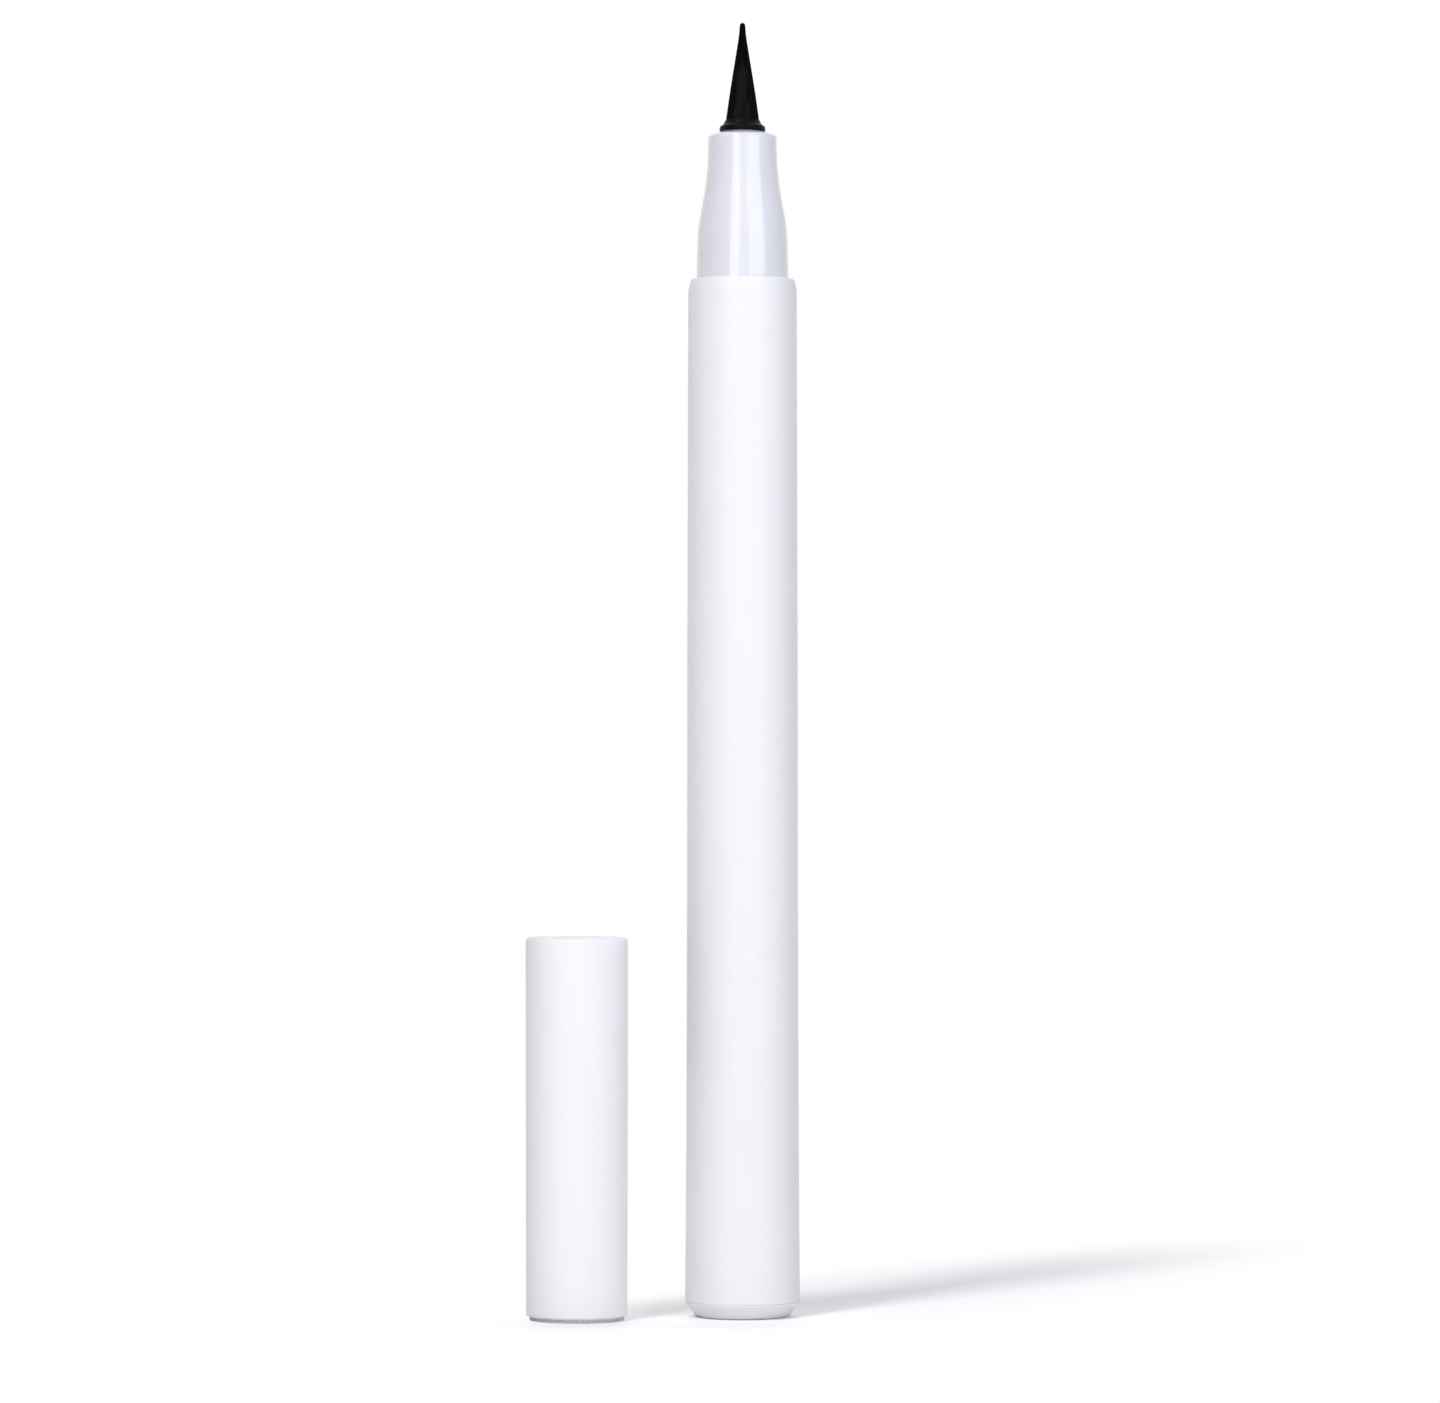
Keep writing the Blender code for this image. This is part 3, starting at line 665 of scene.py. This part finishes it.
def turned(corners, axis=(0.0, 0.0), steps=TURN_STEPS):
    """Spins an outline round its axis. An outline that starts off the axis is closed on itself."""
    shape = bmesh.new()
    points = [shape.verts.new((radius, 0, height)) for radius, height, _ in corners]
    pairs = list(zip(points, points[1:]))
    if corners[0][0] > 0:
        pairs.append((points[-1], points[0]))
    for pair in pairs:
        shape.edges.new(pair)
    for point, (_, _, reach) in zip(points, corners):
        if reach:
            bmesh.ops.bevel(shape, geom=[point], offset=reach, offset_type="OFFSET", segments=ROUND_STEPS,
                            profile=0.5, affect="VERTICES", material=-1)
    for edge in list(shape.edges):
        cuts = int(edge.calc_length() / RING_SPACING)
        if cuts:
            bmesh.ops.subdivide_edges(shape, edges=[edge], cuts=cuts)
    bmesh.ops.spin(shape, geom=shape.verts[:] + shape.edges[:], cent=(0, 0, 0), axis=(0, 0, 1),
                   angle=math.tau, steps=steps, use_merge=True)
    bmesh.ops.remove_doubles(shape, verts=shape.verts, dist=MERGE_DISTANCE)
    bmesh.ops.recalc_face_normals(shape, faces=shape.faces)
    bmesh.ops.translate(shape, verts=shape.verts, vec=(*axis, 0))
    return shape


# The pen

def tail_plug():
    low, high = span("tail_plug")
    radius = radius_of("tail_plug")
    inner = PLUG_SPIGOT_RADIUS - PLUG_WALL
    shape = turned((
        (0, PLUG_LAND_TOP + PLUG_FLOOR, 0),
        (inner, PLUG_LAND_TOP + PLUG_FLOOR, EDGE_BREAK),
        (inner, high, 0),
        (PLUG_SPIGOT_RADIUS, high, EDGE_BREAK),
        (PLUG_SPIGOT_RADIUS, PLUG_LAND_TOP, 0),
        (radius, PLUG_LAND_TOP, SEAM_BREAK),
        (radius, PLUG_CHAMFER_HEIGHT, PLUG_CORNER_REACH),
        (radius - PLUG_CHAMFER_WIDTH, low, PLUG_FOOT_REACH),
        (PLUG_RIM_RADIUS + PLUG_RIM_GROOVE, low, 0),
        (PLUG_RIM_RADIUS, low + PLUG_RIM_GROOVE, 0),
        (PLUG_RIM_RADIUS - PLUG_RIM_GROOVE, low, 0),
        (0, low, 0)))
    finished("tail_end_plug", shape, "pen", "barrel_white", "tail_plug")


def barrel():
    front = span("barrel")[1]
    tail = PLUG_LAND_TOP + SEAM
    corners = [(radius, front - depth, reach) for radius, depth, reach in BARREL_SHOULDER]
    corners += [(radius, height, 0) for radius, height in BARREL_SIDE]
    corners += [
        (radius_of("barrel"), tail, SEAM_BREAK),
        (BARREL_BORE, tail, 0),
        (BARREL_BORE, front, EDGE_BREAK),
    ]
    finished("barrel_tube", turned(corners), "pen", "barrel_white", "barrel")


def nose_section():
    low, high = span("nose_section")
    rim = high - NOSE_RIM_DROP
    taper_drop = NOSE_BASE_TOP_RADIUS - NOSE_FRONT_RADIUS
    corners = [
        (NOSE_BORE, high, EDGE_BREAK),
        (NOSE_FACE_RADIUS, high, 0),
        (NOSE_RIM_RADIUS, rim, NOSE_RIM_REACH),
        (NOSE_FRONT_RADIUS, NOSE_BASE_TOP + NOSE_TAPER_LENGTH, NOSE_TAPER_REACH),
    ]
    for along, drop in reversed(NOSE_TAPER_SHARES):
        corners.append((NOSE_BASE_TOP_RADIUS - drop * taper_drop, NOSE_BASE_TOP + along * NOSE_TAPER_LENGTH,
                        NOSE_TAPER_REACH))
    corners += [
        (NOSE_BASE_TOP_RADIUS, NOSE_BASE_TOP, NOSE_TAPER_REACH),
        (NOSE_BASE_RADIUS, span("barrel")[1], 0),
        (NOSE_BASE_RADIUS, low, EDGE_BREAK),
        (NOSE_REAR_BORE, low, 0),
        (NOSE_BORE, low + NOSE_REAR_BORE, 0),
    ]
    finished("nose_front", turned(corners), "pen", "nose_white", "nose_section")


def nib_ferrule():
    low = span("nib_ferrule")[0]
    foot = span("nose_section")[1]
    shape = turned((
        (FERRULE_BORE, foot + FERRULE_COLLAR_TOP, 0),
        (FERRULE_COLLAR_RADIUS, foot + FERRULE_COLLAR_TOP, FERRULE_RIM_REACH),
        (FERRULE_FLARE_RADIUS, foot + FERRULE_FLARE_TOP, FERRULE_FLARE_REACH),
        (FERRULE_FOOT_RADIUS, foot + FERRULE_FOOT_HEIGHT, FERRULE_FOOT_REACH),
        (FERRULE_FOOT_RADIUS, foot + SEAM, EDGE_BREAK),
        (FERRULE_SHANK_RADIUS, foot + SEAM, 0),
        (FERRULE_SHANK_RADIUS, low, EDGE_BREAK),
        (FERRULE_BORE, low, 0)))
    finished("nib_collar", shape, "pen", "black_plastic", "nib_ferrule")


def brush_core():
    """The middle of the bundle, down to the shank in the ferrule."""
    low, high = span("brush_nib")
    root = span("nib_ferrule")[1]
    corners = [(0, low, 0), (FERRULE_BORE - SEAM, low, EDGE_BREAK), (FERRULE_BORE - SEAM, root, 0)]
    for along, share in BRUSH_POINT_SHARES:
        corners.append((share * FERRULE_BORE * BRUSH_CORE_SHARE, root + along * (high - root), 0))
    corners.append((0, high, 0))
    corners.reverse()
    finished("brush_core", turned(corners, steps=BRUSH_CORE_STEPS), "pen", "black_filament", "brush_nib")


def brush_filaments():
    """Filaments side by side round the core. Each tapers with the bundle and ends in its point."""
    high = span("brush_nib")[1]
    root = span("nib_ferrule")[1] - FERRULE_RIM_REACH
    sequence = random.Random(BRUSH_SEED)
    shape = bmesh.new()
    for number in range(FILAMENT_COUNT):
        ring = bmesh.ops.create_circle(shape, segments=FILAMENT_SIDES, radius=1.0)["verts"]
        edges = list({edge for vert in ring for edge in vert.link_edges})
        turn = math.tau * number / FILAMENT_COUNT
        lift = sequence.uniform(-FILAMENT_LIFT_SHARE, FILAMENT_LIFT_SHARE)
        sway = math.radians(sequence.uniform(-FILAMENT_SWAY_DEG, FILAMENT_SWAY_DEG))
        for step, (along, share) in enumerate(BRUSH_POINT_SHARES):
            if step:
                out = bmesh.ops.extrude_edge_only(shape, edges=edges)["geom"]
                ring = [item for item in out if isinstance(item, bmesh.types.BMVert)]
                edges = [item for item in out if isinstance(item, bmesh.types.BMEdge)]
            bundle = share * FERRULE_BORE
            thickness = bundle * math.pi / FILAMENT_COUNT * FILAMENT_OVERLAP
            centre = Vector(((bundle - thickness) * (1 + lift), 0, root + along * (high - root)))
            around = Matrix.Rotation(turn + sway * math.sin(along * math.pi), 3, "Z")
            for corner, vert in enumerate(ring):
                facing = math.tau * corner / FILAMENT_SIDES
                edge = Vector((math.cos(facing), math.sin(facing), 0)) * thickness
                vert.co = around @ (centre + edge)
    bmesh.ops.holes_fill(shape, edges=[edge for edge in shape.edges if edge.is_boundary])
    bmesh.ops.recalc_face_normals(shape, faces=shape.faces)
    finished("brush_filaments", shape, "pen", "black_filament")


# The cap

def cap_shell():
    low, high = span("cap_shell")
    radius = radius_of("cap_shell")
    snap_half = CAP_SNAP_LENGTH / 2
    shape = turned((
        (0, high - CAP_GATE_DEPTH, 0),
        (CAP_GATE_RADIUS, high - CAP_GATE_DEPTH, 0),
        (CAP_GATE_RADIUS + CAP_GATE_DEPTH, high, 0),
        (radius, high, CAP_TOP_REACH),
        (CAP_MOUTH_RADIUS, low + CAP_LIP_HEIGHT, CAP_MOUTH_REACH),
        (CAP_LIP_RADIUS, low + CAP_LIP_HEIGHT, 0),
        (CAP_LIP_RADIUS, low, 0),
        (CAP_BORE, low, 0),
        (CAP_BORE, CAP_SNAP_HEIGHT - snap_half, 0),
        (CAP_SNAP_RADIUS, CAP_SNAP_HEIGHT, EDGE_BREAK),
        (CAP_BORE, CAP_SNAP_HEIGHT + snap_half, 0),
        (CAP_BORE, CAP_STEP_HEIGHT, 0),
        (CAP_UPPER_BORE, CAP_STEP_HEIGHT, 0),
        (CAP_UPPER_BORE, CAP_CEILING, 0),
        (CAP_BOSS_RADIUS, CAP_CEILING, 0),
        (CAP_BOSS_RADIUS, CAP_CEILING - CAP_BOSS_DEPTH, EDGE_BREAK),
        (0, CAP_CEILING - CAP_BOSS_DEPTH, 0)), axis=axis_of("cap_shell"))
    piece = finished("cap_tube", shape, "cap", "cap_white", "cap_shell")
    # Diffuse rays pass through the cap. A real cap would throw light back at the barrel beside it, and the
    # barrel's edge there would be lighter than in the photograph.
    piece.visible_diffuse = False


def retainer_ring():
    low, high = span("retainer_ring")
    radius = radius_of("retainer_ring")
    shape = turned((
        (RING_BORE, high, 0),
        (radius, high, RING_REACH),
        (radius, low, RING_REACH),
        (RING_BORE, low, EDGE_BREAK)), axis=axis_of("retainer_ring"))
    finished("inner_cap_retainer", shape, "cap", "natural_plastic", "retainer_ring")


def inner_cap():
    low, high = span("inner_cap")
    shape = turned((
        (0, high, 0),
        (CAP_BOSS_RADIUS, high, EDGE_BREAK),
        (CAP_BOSS_RADIUS, FLANGE_TOP, 0),
        (FLANGE_RADIUS, FLANGE_TOP, EDGE_BREAK),
        (FLANGE_RADIUS, FLANGE_BOTTOM, EDGE_BREAK),
        (CHAMBER_OUTER_RADIUS, FLANGE_BOTTOM, 0),
        (CHAMBER_OUTER_RADIUS, SKIRT_TOP, 0),
        (SKIRT_RADIUS, SKIRT_TOP, SKIRT_REACH),
        (SKIRT_RADIUS, low, SKIRT_REACH),
        (SKIRT_BORE, low, SKIRT_REACH),
        (SKIRT_BORE, SKIRT_TOP - SKIRT_ROOF, EDGE_BREAK),
        (CHAMBER_RADIUS, SKIRT_TOP - SKIRT_ROOF, EDGE_BREAK),
        (CHAMBER_RADIUS, high - CHAMBER_ROOF, EDGE_BREAK),
        (0, high - CHAMBER_ROOF, 0)), axis=axis_of("inner_cap"))
    finished("nib_seal_cup", shape, "inner_cap", "natural_plastic", "inner_cap")


def return_spring():
    """A compression spring with closed end turns, built at the length of its solid. The real spring shortens
    as the inner cap is pressed in.
    """
    low, high = span("return_spring")
    x, y = axis_of("cap_shell")
    first = low + SPRING_WIRE_RADIUS
    rise = high - low - 2 * SPRING_WIRE_RADIUS
    working_pitch = (rise - 2 * SPRING_END_PITCH) / SPRING_WORKING_TURNS
    shape = bmesh.new()
    wire = bmesh.ops.create_circle(shape, segments=SPRING_SIDES, radius=SPRING_WIRE_RADIUS)["verts"]
    bmesh.ops.rotate(shape, verts=wire, cent=(0, 0, 0), matrix=Matrix.Rotation(math.pi / 2, 3, "X"))
    bmesh.ops.translate(shape, verts=wire, vec=(SPRING_RADIUS, 0, first))
    end = shape.verts[:] + shape.edges[:]
    end_turn = (1, SPRING_END_PITCH)
    for turns, pitch in (end_turn, (SPRING_WORKING_TURNS, working_pitch), end_turn):
        out = bmesh.ops.spin(shape, geom=end, cent=(0, 0, 0), axis=(0, 0, 1), angle=math.tau * turns,
                             dvec=(0, 0, pitch / SPRING_STEPS_PER_TURN),
                             steps=round(turns * SPRING_STEPS_PER_TURN))
        end = out["geom_last"]
    bmesh.ops.holes_fill(shape, edges=[edge for edge in shape.edges if edge.is_boundary])
    bmesh.ops.recalc_face_normals(shape, faces=shape.faces)
    bmesh.ops.translate(shape, verts=shape.verts, vec=(x, y, 0))
    piece = finished("cap_spring", shape, "cap", "spring_steel", "return_spring")
    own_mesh(piece)


def hidden_pieces():
    """Every solid takes its slot's finish. The ones that no piece replaces are inside the pen."""
    for subpart in frame["record"]["subparts"]:
        node = frame["nodes"][subpart["node"]]
        node.data.materials.clear()
        node.data.materials.append(FINISHES[subpart["material_slot"]])


# Floor, backdrop, lights and camera

def background_rays(tree):
    """1 for the rays that see the background as it is: from the camera, from gloss and through glass."""
    rays = add(tree, "ShaderNodeLightPath").outputs
    seen = maths(tree, "MAXIMUM", rays["Is Camera Ray"], rays["Is Glossy Ray"])
    return maths(tree, "MAXIMUM", seen, rays["Is Transmission Ray"])


def floor():
    shape = bmesh.new()
    bmesh.ops.create_circle(shape, cap_ends=True, segments=FLOOR_SIDES, radius=FLOOR_RADIUS)
    mesh = bpy.data.meshes.new("floor")
    shape.to_mesh(mesh)
    shape.free()
    piece = bpy.data.objects.new("floor", mesh)
    bpy.context.scene.collection.objects.link(piece)
    material = bpy.data.materials.new("white_floor")
    material.use_nodes = True
    tree = material.node_tree
    tree.nodes.clear()
    place = add(tree, "ShaderNodeTexCoord").outputs["Object"]
    along_shadow = add(tree, "ShaderNodeMapping")
    feed(tree, along_shadow.inputs["Vector"], place)
    along_shadow.inputs["Rotation"].default_value = (0.0, 0.0, math.radians(-LAMPS["key"][0]))
    along_shadow.inputs["Location"].default_value = (0.0, -FLOOR_LIT_MIDDLE, 0.0)
    distance = add(tree, "ShaderNodeVectorMath", operation="LENGTH")
    feed(tree, distance.inputs[0], stretched(tree, along_shadow.outputs["Vector"], FLOOR_SQUEEZE))
    parts = add(tree, "ShaderNodeSeparateXYZ")
    feed(tree, parts.inputs[0], place)
    in_front = remapped(tree, parts.outputs["Y"], -FLOOR_FRONT_WHITE, -FLOOR_FRONT_LIT, 1.0, 0.0)
    far = remapped(tree, distance.outputs["Value"], FLOOR_LIT_RADIUS, FLOOR_WHITE_RADIUS, 0.0, 1.0)
    white_share = maths(tree, "MAXIMUM", far, in_front)
    bounce = add(tree, "ShaderNodeBsdfDiffuse")
    bounce.inputs["Color"].default_value = (FLOOR_BOUNCE, FLOOR_BOUNCE, FLOOR_BOUNCE, 1.0)
    lit = add(tree, "ShaderNodeBsdfDiffuse")
    lit.inputs["Color"].default_value = FLOOR_SHOWN
    glow = add(tree, "ShaderNodeEmission")
    shown = add(tree, "ShaderNodeMixShader")
    feed(tree, shown.inputs[0], white_share)
    feed(tree, shown.inputs[1], lit.outputs[0])
    feed(tree, shown.inputs[2], glow.outputs[0])
    choice = add(tree, "ShaderNodeMixShader")
    feed(tree, choice.inputs[0], background_rays(tree))
    feed(tree, choice.inputs[1], bounce.outputs[0])
    feed(tree, choice.inputs[2], shown.outputs[0])
    feed(tree, add(tree, "ShaderNodeOutputMaterial").inputs["Surface"], choice.outputs[0])
    mesh.materials.append(material)


def white_world():
    world = bpy.data.worlds.new("white_surround")
    bpy.context.scene.world = world
    world.use_nodes = True
    tree = world.node_tree
    tree.nodes.clear()
    soft = add(tree, "ShaderNodeBackground")
    soft.inputs["Strength"].default_value = WORLD_STRENGTH
    white = add(tree, "ShaderNodeBackground")
    choice = add(tree, "ShaderNodeMixShader")
    for background in (soft, white):
        background.inputs["Color"].default_value = (1.0, 1.0, 1.0, 1.0)
    feed(tree, choice.inputs[0], background_rays(tree))
    feed(tree, choice.inputs[1], soft.outputs[0])
    feed(tree, choice.inputs[2], white.outputs[0])
    feed(tree, add(tree, "ShaderNodeOutputWorld").inputs["Surface"], choice.outputs[0])


def softbox(name, azimuth_deg, elevation_deg, distance, width, height, watts, colour):
    """A soft lamp aimed at the pen. Azimuth 0 is the camera's side, and goes up to the right."""
    lamp = bpy.data.lights.new(name, "AREA")
    lamp.shape = "RECTANGLE"
    lamp.size = width
    lamp.size_y = height
    lamp.energy = watts
    lamp.color = colour
    azimuth = math.radians(azimuth_deg)
    elevation = math.radians(elevation_deg)
    back = Vector((math.sin(azimuth) * math.cos(elevation), -math.cos(azimuth) * math.cos(elevation),
                   math.sin(elevation)))
    piece = bpy.data.objects.new(name, lamp)
    piece.location = Vector(LAMP_AIM) + back * distance
    piece.rotation_mode = "QUATERNION"
    piece.rotation_quaternion = (-back).to_track_quat("-Z", "Y")
    piece.visible_camera = False
    piece.visible_glossy = name not in LAMPS_WITHOUT_GLARE
    bpy.context.scene.collection.objects.link(piece)


def lights():
    for name, settings in LAMPS.items():
        softbox(name, *settings)


def camera():
    data = bpy.data.cameras.new("camera")
    data.lens = CAMERA_LENS_MM
    piece = bpy.data.objects.new("camera", data)
    piece.location = CAMERA_PLACE
    piece.rotation_euler = (math.radians(90 + CAMERA_TILT_DEG), 0, 0)
    bpy.context.scene.collection.objects.link(piece)
    bpy.context.scene.camera = piece


bpy.context.scene.view_settings.view_transform = "Standard"
camera()
floor()
white_world()
lights()

hidden_pieces()
tail_plug()
barrel()
nose_section()
nib_ferrule()
brush_core()
brush_filaments()
cap_shell()
retainer_ring()
return_spring()
inner_cap()
